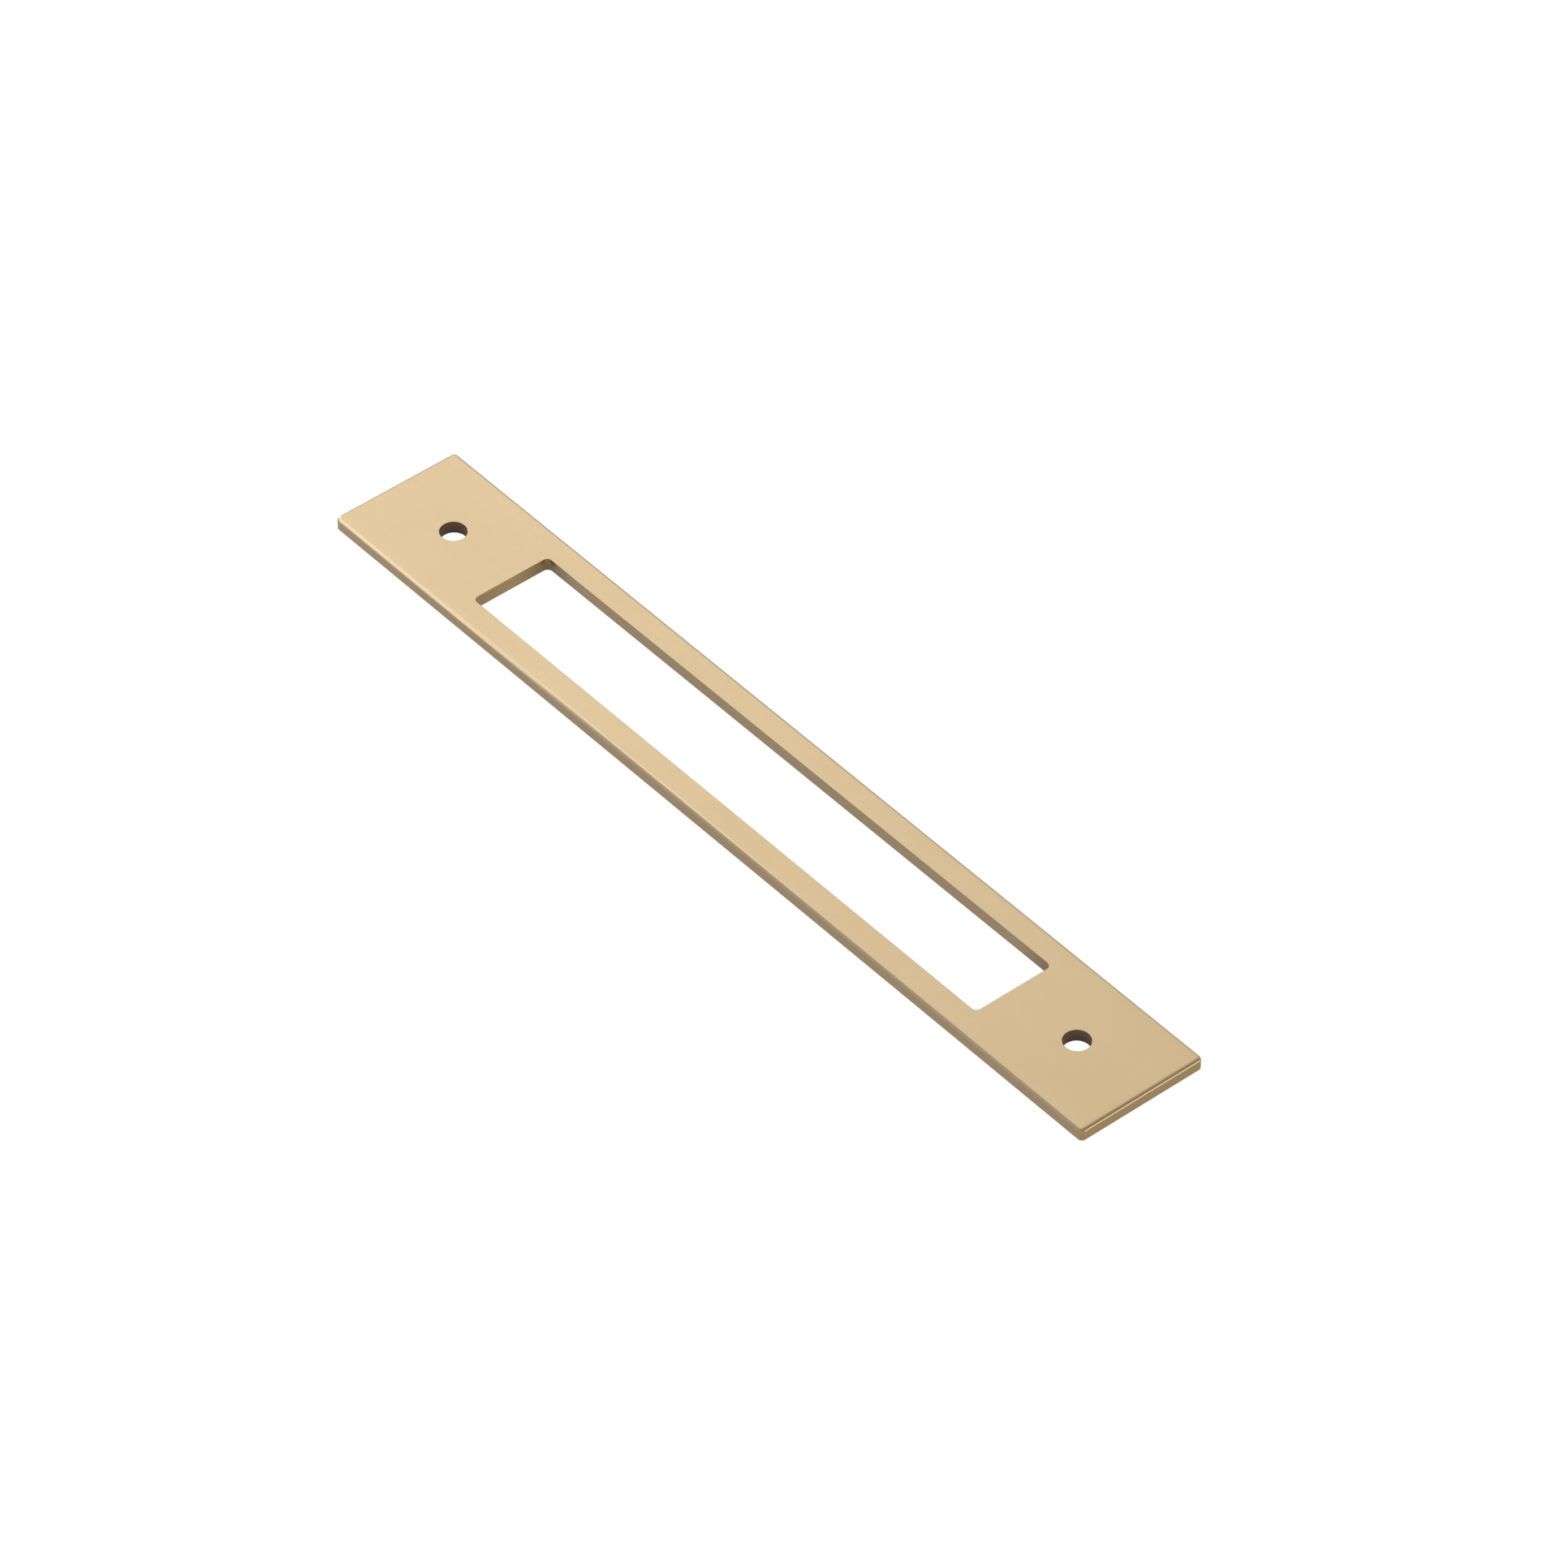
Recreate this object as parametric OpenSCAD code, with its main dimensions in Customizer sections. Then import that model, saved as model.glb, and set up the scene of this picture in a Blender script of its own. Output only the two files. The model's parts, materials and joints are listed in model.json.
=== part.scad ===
// Backplate for a pull handle: one flat brass plate that sits between the
// handle's two feet and the front of a door or drawer. The handle's screws
// pass through its two round holes, and a long window between the feet leaves
// the front showing.
// The origin is the centre of the back face. +X runs along the plate and +Z
// points out of the face that shows.

/* [Screw holes] */
// Distance between the two screw holes, centre to centre
hole_spacing = 160; // [96, 128, 160, 192, 224]
// Diameter of each screw hole
hole_d = 4.8; // [3.4:0.1:6]

/* [Plate] */
// Distance from each hole's centre to the nearer end of the plate
end_margin = 15.85; // [10:0.05:25]
// Width of the plate
plate_w = 26; // [22:0.5:45]
// Thickness of the plate
plate_t = 2.5; // [2:0.1:5]
// Radius of the plate's four corners, seen from the front
corner_r = 0.85; // [0.3:0.05:3]
// Radius of the rounding all along the front's outer edge; the corners limit it
edge_r = 0.75; // [0.2:0.05:1]

/* [Window] */
// Distance from each hole's centre to the nearer end of the window
window_gap = 15.5; // [8:0.5:25]
// Width of the rim left along each long side of the window
rim_w = 4.9; // [3:0.05:8]
// Radius of the window's four corners
window_r = 1; // [0.5:0.1:2.5]

/* [Hidden] */
$fn = 72;
BRASS = [0.84, 0.72, 0.53];
// How far a cutter runs past each face of the plate
cut_past = 1;
plate_l = hole_spacing + 2 * end_margin;
window_l = hole_spacing - 2 * window_gap;
window_w = plate_w - 2 * rim_w;
// Smallest radius left at the flat front's own corners, inside the rounding
front_corner_r = 0.05;
// The rounding that fits inside the corners
round_r = min(edge_r, corner_r - front_corner_r);
// Height at which the upright sides end and the edge rounding begins
side_h = plate_t - round_r;

// A rectangle with true round corners, centred on the origin
module rounded_rect(length, width, r) {
    square([length - 2 * r, width], center = true);
    square([length, width - 2 * r], center = true);
    for (x = [-1, 1], y = [-1, 1])
        translate([x * (length / 2 - r), y * (width / 2 - r)])
            circle(r);
}

// A quarter of a disc in the first quadrant, with its centre at the origin
module quarter_disc(r) {
    intersection() {
        circle(r);
        square(r);
    }
}

// The rounding along one side: it stands `reach` out from the middle of the
// plate and ends where the corners at both its ends begin
module edge_rounding(reach, side_l) {
    translate([reach - round_r, 0, side_h])
        rotate([90, 0, 0])
            linear_extrude(side_l - 2 * corner_r, center = true)
                quarter_disc(round_r);
}

// The rounding around one corner, about the corner's own centre
module corner_rounding(x, y) {
    translate([x, y, side_h])
        rotate_extrude(angle = 90)
            translate([corner_r - round_r, 0])
                quarter_disc(round_r);
}

// One end and one side of the plate's edge, with the corner between them;
// turned half a turn about Z it gives the other end and side
module half_edge() {
    corner_x = plate_l / 2 - corner_r;
    corner_y = plate_w / 2 - corner_r;
    edge_rounding(plate_l / 2, plate_w);
    rotate([0, 0, 90]) edge_rounding(plate_w / 2, plate_l);
    corner_rounding(corner_x, corner_y);
    rotate([0, 0, 90]) corner_rounding(corner_y, corner_x);
}

// The plate before it is cut: upright sides, a rounded edge and a flat front
module blank() {
    linear_extrude(side_h)
        rounded_rect(plate_l, plate_w, corner_r);
    translate([0, 0, side_h])
        linear_extrude(round_r)
            rounded_rect(plate_l - 2 * round_r, plate_w - 2 * round_r, corner_r - round_r);
    for (turn = [0, 180])
        rotate([0, 0, turn]) half_edge();
}

module window_cut() {
    translate([0, 0, -cut_past])
        linear_extrude(plate_t + 2 * cut_past)
            rounded_rect(window_l, window_w, window_r);
}

module screw_hole_cut() {
    translate([0, 0, -cut_past])
        cylinder(d = hole_d, h = plate_t + 2 * cut_past);
}

module backplate() {
    color(BRASS)
        difference() {
            blank();
            window_cut();
            for (side = [-1, 1])
                translate([side * hole_spacing / 2, 0, 0]) screw_hole_cut();
        }
}

backplate();
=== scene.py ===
"""Satin brass backplate for a pull handle, on a white studio floor.

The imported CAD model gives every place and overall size. The CAD plate is
replaced by one fine mesh of the same plate, with true round corners, a
rounded front edge and slightly broken inner edges, in a brushed brass made
of shader nodes. All lengths are in metres.
"""
import json
from math import cos, pi, radians, sin

import bmesh
import bpy
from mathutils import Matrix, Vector


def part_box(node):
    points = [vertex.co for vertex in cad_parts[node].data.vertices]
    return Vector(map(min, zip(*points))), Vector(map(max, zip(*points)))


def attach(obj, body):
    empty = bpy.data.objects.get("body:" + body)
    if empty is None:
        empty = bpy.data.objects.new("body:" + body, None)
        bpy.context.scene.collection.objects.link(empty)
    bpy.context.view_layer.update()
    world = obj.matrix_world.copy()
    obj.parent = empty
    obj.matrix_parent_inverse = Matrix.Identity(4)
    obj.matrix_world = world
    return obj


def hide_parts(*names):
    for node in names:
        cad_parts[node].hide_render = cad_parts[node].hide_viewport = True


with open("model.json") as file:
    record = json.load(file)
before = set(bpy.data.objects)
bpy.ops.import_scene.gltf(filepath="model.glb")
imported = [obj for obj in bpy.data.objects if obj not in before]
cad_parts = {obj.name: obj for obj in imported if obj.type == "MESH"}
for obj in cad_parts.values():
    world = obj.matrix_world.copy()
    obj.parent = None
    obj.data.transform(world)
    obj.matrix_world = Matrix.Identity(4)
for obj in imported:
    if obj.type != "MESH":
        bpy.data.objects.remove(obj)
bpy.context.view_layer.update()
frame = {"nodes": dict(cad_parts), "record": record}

NODE = "backplate"
MM_PER_M = 1000.0

# The camera, as its angles round the plate and above it, and the point it
# looks at. A long lens keeps the plate's sides nearly parallel.
CAMERA_AZIMUTH = radians(49.88)
CAMERA_ELEVATION = radians(43.37)
CAMERA_DISTANCE = 1.6163
CAMERA_LENS_MM = 224.7
CAMERA_AIM = Vector((0.00276, 0.00356, 0.00125))

# Roundings of the plate, which the CAD model shares
CORNER_R = 0.00085
WINDOW_R = 0.001
EDGE_R = 0.00075

# Finer shape that only the looks need
FRONT_CORNER_R = 0.0001   # radius left at the flat front's own corners
EASE_FRONT = 0.00012      # how far the window's and holes' front edges are broken
EASE_BACK = 0.00006       # the same for every edge round the back face
ROLL_OFF_W = 0.0013       # width of the band where brushing has softened the front
ROLL_OFF_TILT = radians(1.5)

# Number of steps in which each round stretch is drawn
CORNER_STEPS = 14
FILLET_STEPS = 12
ROLL_OFF_STEPS = 6
EASE_STEPS = 4
HOLE_STEPS = 96

# How much painted shade darkens the walls of the openings, from 0 to 1. The bores get nearly all
# of it.
BORE_PAINTED_SHADE = 0.97
WALL_PAINTED_SHADE = 0.06       # the window's wall away from its corners
FRONT_PAINTED_SHADE = 0.78      # share of a wall's painted shade that is left at its front edge
# The painted shade that the window's four corners add, by the signs of their x and y
CORNER_PAINTED_SHADE = {(-1, 1): 0.55, (1, 1): 0.48, (1, -1): 0.40, (-1, -1): 0.20}
CORNER_SHADE_W = 0.0065   # how far from its corners the window's wall carries painted shade
# Where that stretch of the wall has points, as shares of its width
CORNER_SHADE_POINTS = (0.12, 0.3, 0.6, 1.0)

# Brass: the brushed front varies from light to deep and edges are worn; the walls
# of the openings are darkened with painted shade
LIGHT_BRASS = (0.845, 0.668, 0.410, 1.0)
DEEP_BRASS = (0.785, 0.610, 0.355, 1.0)
WORN_BRASS = (0.890, 0.725, 0.485, 1.0)
PAINTED_SHADE_BRASS = (0.118, 0.074, 0.074, 1.0)
# Waves of noise per metre, along and across the plate and through it
BRUSH_WAVES = (70.0, 5200.0, 5200.0)
CLOUD_WAVES = (34.0, 60.0, 60.0)
MOTTLE_WAVES = (420.0, 620.0, 620.0)
# The most that each noise, and wear, may change the colour, from 0 to 1
CLOUD_SHADE = 0.5
MOTTLE_SHADE = 0.16
BRUSH_SHADE = 0.12
WEAR_SHADE = 0.55
# Roughness of the brushed brass, and what mottle, wear and the painted shade's mask do to it
BRUSH_ROUGHNESS = (0.29, 0.32)
MOTTLE_ROUGHNESS = (-0.01, 0.015)
WEAR_SMOOTHING = 0.10
PAINTED_SHADE_ROUGHENING = 0.18
# Height of the surface's grain, and how much of it shows
MOTTLE_HEIGHT = 0.6       # as a share of the brush lines' height
GRAIN_HEIGHT = 0.00002
GRAIN_STRENGTH = 0.02

# The room that the brass mirrors: brightness from straight below, at 0, to
# straight above, at 1, and its tint to the left and to the right
ROOM_LEVELS = (
    (0.0, 0.36), (0.16, 0.365), (0.35, 0.40), (0.475, 0.42), (0.55, 0.36), (0.675, 0.26),
    (1.0, 0.26))
ROOM_TINT_LEFT = (1.0, 0.945, 0.930, 1.0)
ROOM_TINT_RIGHT = (1.0, 0.885, 0.69, 1.0)
# The room's broad glow: where its middle is, its tint, and its brightness by
# the cosine of the angle away from the middle
GLOW_TOWARDS = (-0.58, 0.15, 0.80)
GLOW_TINT = (1.0, 0.980, 0.925, 1.0)
GLOW_LEVELS = (
    (0.0, 0.0), (0.12, 0.02), (0.50, 0.12), (0.74, 0.35), (0.85, 0.43), (0.93, 0.50),
    (1.0, 0.50))

# The floor: a disc that curves up into a round wall
FLOOR_R = 4.0
FLOOR_CURVE_R = 1.5
FLOOR_CURVE_STEPS = 12
FLOOR_WALL_H = 4.0
FLOOR_SIDES = 96
FLOOR_GAP = 0.0001        # between the plate's back face and the floor
FLOOR_BRIGHTNESS = 1.03   # just over 1, so that every pixel of it is full white


def bridge(bm, first, second):
    """A band of faces between two closed rings of as many vertices."""
    count = len(first)
    for i in range(count):
        j = (i + 1) % count
        bm.faces.new((first[i], first[j], second[j], second[i]))


def add_object(name, data):
    """A new object in the scene, made of this mesh, light or camera data."""
    obj = bpy.data.objects.new(name, data)
    bpy.context.collection.objects.link(obj)
    return obj


def turn_towards(obj, aim):
    """Turn a camera or light, which looks along its own -Z, to face a direction."""
    obj.rotation_mode = "QUATERNION"
    obj.rotation_quaternion = aim.to_track_quat("-Z", "Y")


# ---------------------------------------------------------------- camera

def make_camera():
    data = bpy.data.cameras.new("camera")
    data.lens = CAMERA_LENS_MM
    data.sensor_width = 36.0
    data.clip_start = 0.01
    data.clip_end = 50.0
    camera = add_object("camera", data)
    # The direction from the plate to the camera
    back = Vector((sin(CAMERA_AZIMUTH) * cos(CAMERA_ELEVATION),
                   -cos(CAMERA_AZIMUTH) * cos(CAMERA_ELEVATION),
                   sin(CAMERA_ELEVATION)))
    camera.location = CAMERA_AIM + CAMERA_DISTANCE * back
    turn_towards(camera, -back)
    bpy.context.scene.camera = camera


# ---------------------------------------------------------------- plate shape

def measure_plate():
    """The plate's sizes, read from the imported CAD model."""
    low, high = (Vector(corner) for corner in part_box(NODE))
    screws = next(m for m in frame["record"]["mounts"] if m["name"] == "handle_screws")
    hole_x = screws["dims"]["spacing_x_mm"] / MM_PER_M / 2
    hole_r = screws["dims"]["hole_r_mm"] / MM_PER_M
    # Between the holes, and inside the rounded edge, only the window has vertices
    window = [v.co for v in frame["nodes"][NODE].data.vertices
              if abs(v.co.x) < hole_x - hole_r and abs(v.co.y) < high.y - 2 * EDGE_R]
    return {
        "half_l": high.x,
        "half_w": high.y,
        "back_z": low.z,
        "front_z": high.z,
        "hole_x": hole_x,
        "hole_r": hole_r,
        "window_half_l": max(abs(co.x) for co in window),
        "window_half_w": max(abs(co.y) for co in window),
    }


def rounded_outline(half_x, half_y, radius, run_up=()):
    """Points and outward directions round a rectangle with round corners.

    run_up lists distances from a corner's ends at which its straight
    neighbours have a point too.
    """
    outline = []
    for quarter, (sx, sy) in enumerate(((1, 1), (-1, 1), (-1, -1), (1, -1))):
        centre = Vector((sx * (half_x - radius), sy * (half_y - radius), 0.0))
        corner = []
        for step in range(CORNER_STEPS + 1):
            angle = (quarter + step / CORNER_STEPS) * pi / 2
            outward = Vector((cos(angle), sin(angle), 0.0))
            corner.append((centre + radius * outward, outward))
        (first, out_first), (last, out_last) = corner[0], corner[-1]
        before = [(first - out_last * away, out_first) for away in sorted(run_up, reverse=True)]
        after = [(last - out_first * away, out_last) for away in sorted(run_up)]
        outline += before + corner + after
    return outline


def round_outline(centre_x, radius):
    """Points and outward directions round a circle on the plate's long axis."""
    outline = []
    for step in range(HOLE_STEPS):
        angle = 2 * pi * step / HOLE_STEPS
        outward = Vector((cos(angle), sin(angle), 0.0))
        outline.append((Vector((centre_x, 0.0, 0.0)) + radius * outward, outward))
    return outline


def arc(inset, z, radius, start, end, steps):
    """A profile's round stretch, as (inset, height, tilt) triples.

    The tilt is the angle of the surface's normal above the horizontal, and
    (inset, z) is the arc's centre. An inset is measured from the outline, or
    from the wall of an opening, into the metal.
    """
    points = []
    for step in range(steps + 1):
        tilt = start + (end - start) * step / steps
        points.append((inset - radius * cos(tilt), z + radius * sin(tilt), tilt))
    return points


def outer_profile(back_z, front_z):
    """From the back face, up the plate's side and over onto the front face."""
    profile = arc(EASE_BACK, back_z + EASE_BACK, EASE_BACK, -pi / 2, 0.0, EASE_STEPS)
    # The brushed front sinks slightly towards its edge: the tilt grows evenly
    # across the band, so the depth grows with the square of the distance
    drop = ROLL_OFF_W * ROLL_OFF_TILT / 2
    shoulder = pi / 2 - ROLL_OFF_TILT
    side_top = front_z - drop - EDGE_R * sin(shoulder)
    profile += arc(EDGE_R, side_top, EDGE_R, 0.0, shoulder, FILLET_STEPS)
    start = EDGE_R - EDGE_R * cos(shoulder)
    for step in range(1, ROLL_OFF_STEPS + 1):
        left = 1.0 - step / ROLL_OFF_STEPS
        inset = start + ROLL_OFF_W * (1.0 - left)
        profile.append((inset, front_z - drop * left ** 2, pi / 2 - ROLL_OFF_TILT * left))
    return profile


def inner_profile(back_z, front_z):
    """From the front face, down the wall of an opening and onto the back face."""
    front = arc(EASE_FRONT, front_z - EASE_FRONT, EASE_FRONT, pi / 2, 0.0, EASE_STEPS)
    back = arc(EASE_BACK, back_z + EASE_BACK, EASE_BACK, 0.0, -pi / 2, EASE_STEPS)
    return front + back


class PlateMesh:
    """A mesh made of closed rings, which keeps an exact normal for each vertex."""

    def __init__(self):
        self.bm = bmesh.new()
        self.wear = self.bm.verts.layers.float.new("wear")
        self.painted_shade = self.bm.verts.layers.float.new("painted_shade")
        self.normals = []

    def ring(self, points, normals, wear, painted_shade=None):
        """One closed ring of vertices; painted shade, if any, has a value for each."""
        ring = []
        for i, (point, normal) in enumerate(zip(points, normals)):
            vert = self.bm.verts.new(point)
            vert[self.wear] = wear
            vert[self.painted_shade] = painted_shade[i] if painted_shade else 0.0
            self.normals.append(normal.normalized())
            ring.append(vert)
        return ring

    def bridge_all(self, rings):
        for first, second in zip(rings, rings[1:]):
            bridge(self.bm, first, second)

    def fill(self, rings):
        """One flat face between an outer ring and the rings inside it."""
        edges = []
        for ring in rings:
            for i, vert in enumerate(ring):
                edges.append(self.bm.edges.get((vert, ring[(i + 1) % len(ring)])))
        bmesh.ops.triangle_fill(self.bm, use_beauty=True, use_dissolve=False, edges=edges)

    def finish(self, name):
        bmesh.ops.recalc_face_normals(self.bm, faces=self.bm.faces)
        self.bm.verts.index_update()
        mesh = bpy.data.meshes.new(name)
        self.bm.to_mesh(mesh)
        self.bm.free()
        mesh.polygons.foreach_set("use_smooth", [True] * len(mesh.polygons))
        mesh.normals_split_custom_set_from_vertices(self.normals)
        mesh.update()
        return mesh


def side_wear(tilt):
    """Wear is full in the middle of a rounded edge and fades to both sides."""
    return max(0.0, sin(2 * tilt)) if 0.0 < tilt < pi / 2 else 0.0


def add_outer_side(plate, size):
    """The plate's side, and the front's rounded edge and soft band."""
    rings = []
    for inset, z, tilt in outer_profile(size["back_z"], size["front_z"]):
        # Past the corner's own radius the rings' corners stay just short of square
        radius = max(CORNER_R - inset, FRONT_CORNER_R)
        outline = rounded_outline(size["half_l"] - inset, size["half_w"] - inset, radius)
        points = [point + Vector((0.0, 0.0, z)) for point, _ in outline]
        normals = [outward * cos(tilt) + Vector((0.0, 0.0, sin(tilt))) for _, outward in outline]
        rings.append(plate.ring(points, normals, side_wear(tilt)))
    plate.bridge_all(rings)
    return rings[0], rings[-1]


def add_opening(plate, size, outline, painted_shade):
    """The wall of one opening: its normals face into the opening.

    The last argument gives, for each point of the outline, how much painted shade darkens its
    wall.
    """
    middle_z = (size["back_z"] + size["front_z"]) / 2
    rings = []
    for inset, z, tilt in inner_profile(size["back_z"], size["front_z"]):
        points = [point + outward * inset + Vector((0.0, 0.0, z)) for point, outward in outline]
        normals = [Vector((0.0, 0.0, sin(tilt))) - outward * cos(tilt) for _, outward in outline]
        # The steeper half of each broken edge carries as much painted shade as the wall beside
        # it
        share = 1.0 if abs(tilt) < pi / 4 else 0.0
        if z > middle_z:
            share *= FRONT_PAINTED_SHADE
        wall_shade = [share * dull for dull in painted_shade]
        rings.append(plate.ring(points, normals, side_wear(tilt), wall_shade))
    plate.bridge_all(rings)
    return rings[0], rings[-1]


def window_wall(size):
    """The window's outline, and the painted shade on its wall: most in the corners."""
    half_l, half_w = size["window_half_l"], size["window_half_w"]
    run_up = [CORNER_SHADE_W * share for share in CORNER_SHADE_POINTS]
    outline = rounded_outline(half_l, half_w, WINDOW_R, run_up)
    painted_shade = []
    for point, _ in outline:
        away = Vector((half_l - abs(point.x), half_w - abs(point.y))).length
        most = CORNER_PAINTED_SHADE[(1 if point.x > 0 else -1, 1 if point.y > 0 else -1)]
        painted_shade.append(WALL_PAINTED_SHADE + most * max(0.0, 1.0 - away / (CORNER_SHADE_W + WINDOW_R)))
    return outline, painted_shade


def make_plate(size):
    plate = PlateMesh()
    outer_back, outer_front = add_outer_side(plate, size)
    fronts = [outer_front]
    backs = [outer_back]
    openings = [window_wall(size)]
    for side in (-1, 1):
        bore = round_outline(side * size["hole_x"], size["hole_r"])
        openings.append((bore, [BORE_PAINTED_SHADE] * len(bore)))
    for outline, painted_shade in openings:
        front, back = add_opening(plate, size, outline, painted_shade)
        fronts.append(front)
        backs.append(back)
    plate.fill(fronts)
    plate.fill(backs)
    return add_object("plate", plate.finish("plate"))


# ---------------------------------------------------------------- shader nodes

def feed(tree, socket, value):
    """Link a socket to another node's output, or set it to a constant."""
    if isinstance(value, bpy.types.NodeSocket):
        tree.links.new(value, socket)
    else:
        socket.default_value = value


def add_node(tree, kind, inputs=None, **settings):
    node = tree.nodes.new(kind)
    for name, value in settings.items():
        setattr(node, name, value)
    for key, value in (inputs or {}).items():
        feed(tree, node.inputs[key], value)
    return node


def grain(tree, place, waves, detail, roughness=0.6):
    """Noise stretched by a different frequency along each axis."""
    mapped = add_node(tree, "ShaderNodeMapping", {"Vector": place, "Scale": waves})
    noise = add_node(tree, "ShaderNodeTexNoise", {
        "Vector": mapped.outputs["Vector"], "Scale": 1.0,
        "Detail": detail, "Roughness": roughness})
    return noise.outputs["Fac"]


def spread(tree, value, low, high, from_low=0.3, from_high=0.7):
    """Carry a value onto a range. Most noise lies between the default limits."""
    node = add_node(tree, "ShaderNodeMapRange", {
        "Value": value, "From Min": from_low, "From Max": from_high,
        "To Min": low, "To Max": high})
    return node.outputs["Result"]


def math_node(tree, operation, first, second):
    node = add_node(tree, "ShaderNodeMath", {0: first, 1: second}, operation=operation)
    return node.outputs["Value"]


def mix_colour(tree, factor, first, second):
    # The mix node has sockets for every kind of value: these are a colour's
    node = add_node(tree, "ShaderNodeMix", data_type="RGBA")
    for key, value in ((0, factor), (6, first), (7, second)):
        feed(tree, node.inputs[key], value)
    return node.outputs[2]


def grey_ramp(tree, value, stops):
    """A smooth curve of brightness over a value from 0 to 1."""
    node = add_node(tree, "ShaderNodeValToRGB", {"Fac": value})
    elements = node.color_ramp.elements
    while len(elements) < len(stops):
        elements.new(0.5)
    for element, (position, level) in zip(elements, stops):
        element.position = position
        element.color = (level, level, level, 1.0)
    return node.outputs["Color"]


def empty_tree(owner):
    """The emptied node tree of a material or world."""
    owner.use_nodes = True
    owner.node_tree.nodes.clear()
    return owner.node_tree


# ---------------------------------------------------------------- satin brass

def satin_brass():
    material = bpy.data.materials.new("satin_brass")
    tree = empty_tree(material)
    place = add_node(tree, "ShaderNodeTexCoord").outputs["Object"]
    wear = add_node(tree, "ShaderNodeAttribute", attribute_name="wear").outputs["Fac"]
    painted_shade = add_node(tree, "ShaderNodeAttribute", attribute_name="painted_shade").outputs["Fac"]

    # Brush lines run along the plate; cloud and mottle have no clear direction
    brush = grain(tree, place, BRUSH_WAVES, detail=3.0)
    cloud = grain(tree, place, CLOUD_WAVES, detail=2.0, roughness=0.5)
    mottle = grain(tree, place, MOTTLE_WAVES, detail=4.0)

    colour = LIGHT_BRASS
    for noise, shade in ((cloud, CLOUD_SHADE), (mottle, MOTTLE_SHADE), (brush, BRUSH_SHADE)):
        colour = mix_colour(tree, spread(tree, noise, 0.0, shade), colour, DEEP_BRASS)
    worn = math_node(tree, "MULTIPLY", wear, WEAR_SHADE)
    colour = mix_colour(tree, worn, colour, WORN_BRASS)
    # Painted shade: the walls of the openings are darkened towards near black, most in the bores
    # and the window's corners
    colour = mix_colour(tree, painted_shade, colour, PAINTED_SHADE_BRASS)

    # Worn edges are smoother than the brushed front, and walls under painted shade rougher
    roughness = spread(tree, brush, *BRUSH_ROUGHNESS)
    roughness = math_node(tree, "ADD", roughness, spread(tree, mottle, *MOTTLE_ROUGHNESS))
    smoother = math_node(tree, "MULTIPLY", wear, WEAR_SMOOTHING)
    roughness = math_node(tree, "SUBTRACT", roughness, smoother)
    rougher = math_node(tree, "MULTIPLY", painted_shade, PAINTED_SHADE_ROUGHENING)
    roughness = math_node(tree, "ADD", roughness, rougher)

    mottle_height = math_node(tree, "MULTIPLY", mottle, MOTTLE_HEIGHT)
    height = math_node(tree, "ADD", brush, mottle_height)
    bump = add_node(tree, "ShaderNodeBump", {
        "Height": height, "Strength": GRAIN_STRENGTH, "Distance": GRAIN_HEIGHT})

    # The coat is the clear lacquer over the brass
    shader = add_node(tree, "ShaderNodeBsdfPrincipled", {
        "Base Color": colour, "Roughness": roughness, "Metallic": 1.0,
        "Normal": bump.outputs["Normal"],
        "Coat Weight": 0.25, "Coat Roughness": 0.22, "Coat IOR": 1.48})
    add_node(tree, "ShaderNodeOutputMaterial", {"Surface": shader.outputs["BSDF"]})
    return material


# ---------------------------------------------------------------- studio

def floor_mesh():
    """A disc that curves up into a wall, with all its faces towards the plate."""
    profile = [(FLOOR_R, 0.0)]
    for step in range(1, FLOOR_CURVE_STEPS + 1):
        angle = step / FLOOR_CURVE_STEPS * pi / 2
        profile.append((FLOOR_R + FLOOR_CURVE_R * sin(angle),
                        FLOOR_CURVE_R * (1.0 - cos(angle))))
    profile.append((FLOOR_R + FLOOR_CURVE_R, FLOOR_WALL_H))
    bm = bmesh.new()
    rings = []
    for radius, z in profile:
        ring = []
        for step in range(FLOOR_SIDES):
            angle = 2 * pi * step / FLOOR_SIDES
            ring.append(bm.verts.new((radius * cos(angle), radius * sin(angle), z)))
        rings.append(ring)
    bm.faces.new(rings[0])
    for first, second in zip(rings, rings[1:]):
        bridge(bm, second, first)
    mesh = bpy.data.meshes.new("floor")
    bm.to_mesh(mesh)
    bm.free()
    mesh.polygons.foreach_set("use_smooth", [True] * len(mesh.polygons))
    return mesh


def floor_material():
    """White light when seen from above, and clear when seen from below."""
    material = bpy.data.materials.new("floor")
    tree = empty_tree(material)
    from_below = add_node(tree, "ShaderNodeNewGeometry").outputs["Backfacing"]
    lit = add_node(tree, "ShaderNodeEmission", {
        "Color": (1.0, 1.0, 1.0, 1.0), "Strength": FLOOR_BRIGHTNESS})
    clear = add_node(tree, "ShaderNodeBsdfTransparent")
    either = add_node(tree, "ShaderNodeMixShader", {
        0: from_below, 1: lit.outputs[0], 2: clear.outputs[0]})
    add_node(tree, "ShaderNodeOutputMaterial", {"Surface": either.outputs[0]})
    return material


def make_floor():
    """A white lit floor that curves up into a wall far behind the plate.

    It can't be seen from below, so that the plate's back can be looked at.
    """
    floor = add_object("floor", floor_mesh())
    floor.data.materials.append(floor_material())
    # Just clear of the plate's back face, so that the two don't share a plane
    floor.location.z = -FLOOR_GAP
    # The metal reflects the dimmer room below it, not the lit floor
    floor.visible_glossy = False
    floor.visible_shadow = False


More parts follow.
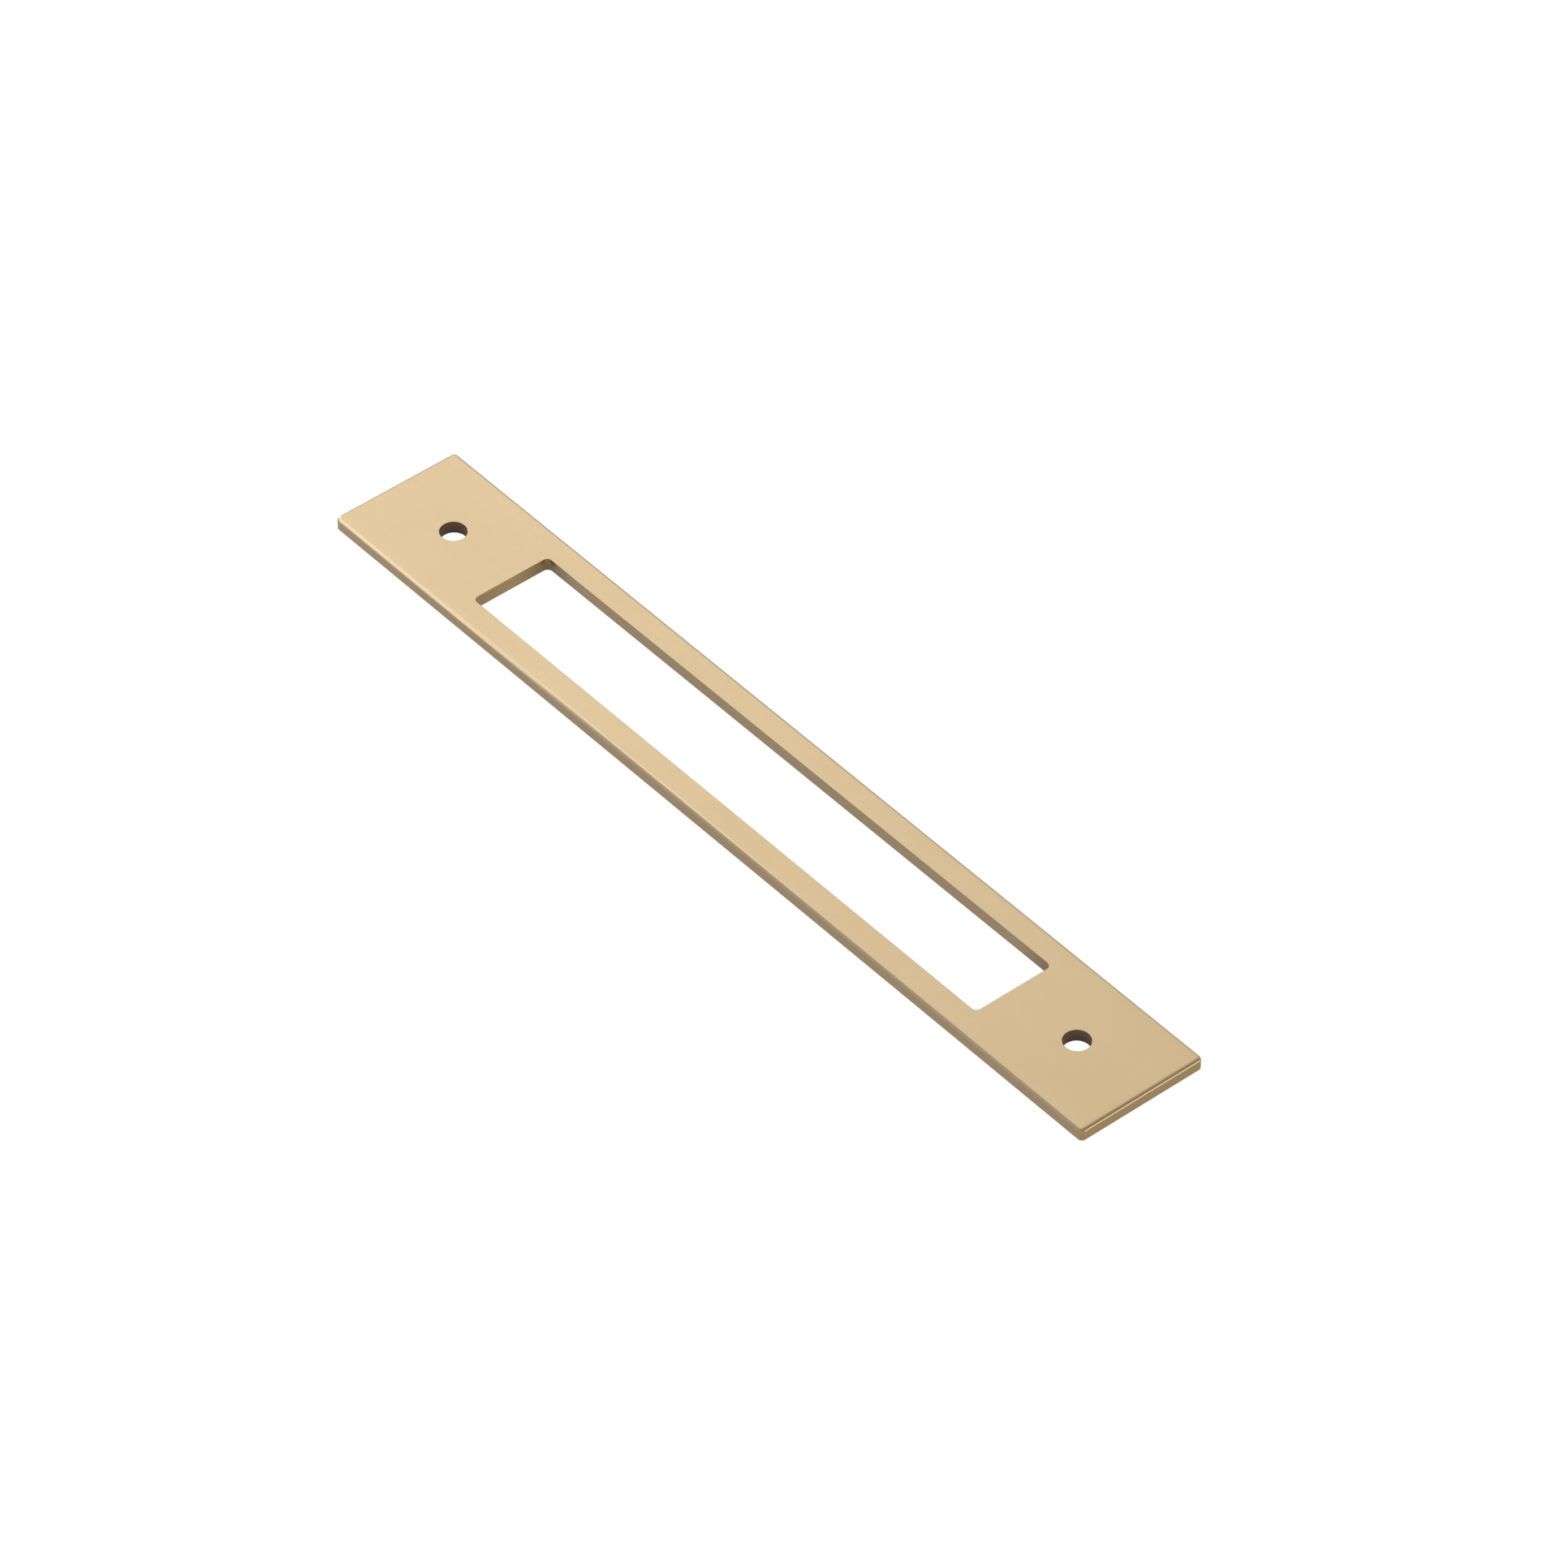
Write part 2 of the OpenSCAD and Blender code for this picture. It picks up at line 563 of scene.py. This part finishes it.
def make_world():
    """A dim room, warmer on the right, with a broad glow above the far end."""
    world = bpy.data.worlds.new("studio")
    tree = empty_tree(world)
    towards = add_node(tree, "ShaderNodeTexCoord").outputs["Generated"]
    parts = add_node(tree, "ShaderNodeSeparateXYZ", {"Vector": towards}).outputs
    height = spread(tree, parts["Z"], 0.0, 1.0, -1.0, 1.0)
    level = grey_ramp(tree, height, ROOM_LEVELS)
    rightness = spread(tree, parts["X"], 0.0, 1.0, -0.5, 0.5)
    tint = mix_colour(tree, rightness, ROOM_TINT_LEFT, ROOM_TINT_RIGHT)
    nearness = add_node(tree, "ShaderNodeVectorMath", {0: towards, 1: GLOW_TOWARDS},
                        operation="DOT_PRODUCT").outputs["Value"]
    glow_level = grey_ramp(tree, nearness, GLOW_LEVELS)
    room = add_node(tree, "ShaderNodeBackground", {"Color": tint, "Strength": level})
    glow = add_node(tree, "ShaderNodeBackground", {"Color": GLOW_TINT, "Strength": glow_level})
    both = add_node(tree, "ShaderNodeAddShader", {0: room.outputs[0], 1: glow.outputs[0]})
    add_node(tree, "ShaderNodeOutputWorld", {"Surface": both.outputs[0]})
    bpy.context.scene.world = world


def softbox(name, place, size, radiance, colour=(1.0, 1.0, 1.0), aim=(0.0, 0.0, 0.0)):
    """A rectangular light of this width, height and brightness, facing its aim."""
    width, height = size
    data = bpy.data.lights.new(name, "AREA")
    data.shape = "RECTANGLE"
    data.size = width
    data.size_y = height
    data.energy = radiance * pi * width * height
    data.color = colour
    light = add_object(name, data)
    light.location = place
    turn_towards(light, Vector(aim) - Vector(place))
    light.visible_camera = False


def make_lights():
    # A softbox over the far end makes the front brighter there
    softbox("overhead", (-0.40, 0.23, 0.36), (0.28, 0.26), 0.26, colour=(0.92, 0.915, 1.0))
    # Cards close to the far corner brighten that end of the long edge: one
    # faces its rounding, one keeps the rounding's start as bright as the front
    # and a dim low one lifts the side below it
    far_end = (-0.085, -0.013, 0.0)
    softbox("left_card", (-0.140, -0.078, 0.038), (0.075, 0.09), 0.66,
            colour=(0.86, 0.85, 1.0), aim=far_end)
    softbox("edge_card", (-0.21, -0.058, 0.26), (0.14, 0.10), 0.50,
            colour=(0.88, 0.87, 1.0), aim=(-0.02, -0.013, 0.0))
    softbox("low_card", (-0.146, -0.093, -0.02), (0.08, 0.10), 0.12, aim=far_end)
    # A small bright card right beside the far corner puts the highlight on it
    softbox("corner_card", (-0.160, -0.006, 0.024), (0.03, 0.045), 2.0,
            aim=(-0.095, -0.012, 0.002))
    # A low card draws the thin bright line along the near end
    softbox("right_card", (0.86, 0.47, -0.17), (0.70, 0.24), 0.95)


def make_studio():
    make_floor()
    make_world()
    make_lights()
    view = bpy.context.scene.view_settings
    view.view_transform = "Standard"
    view.look = "None"
    view.exposure = 0.0
    view.gamma = 1.0


make_camera()
plate_piece = make_plate(measure_plate())
plate_piece.data.materials.append(satin_brass())
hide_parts(NODE)
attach(plate_piece, "root")
make_studio()
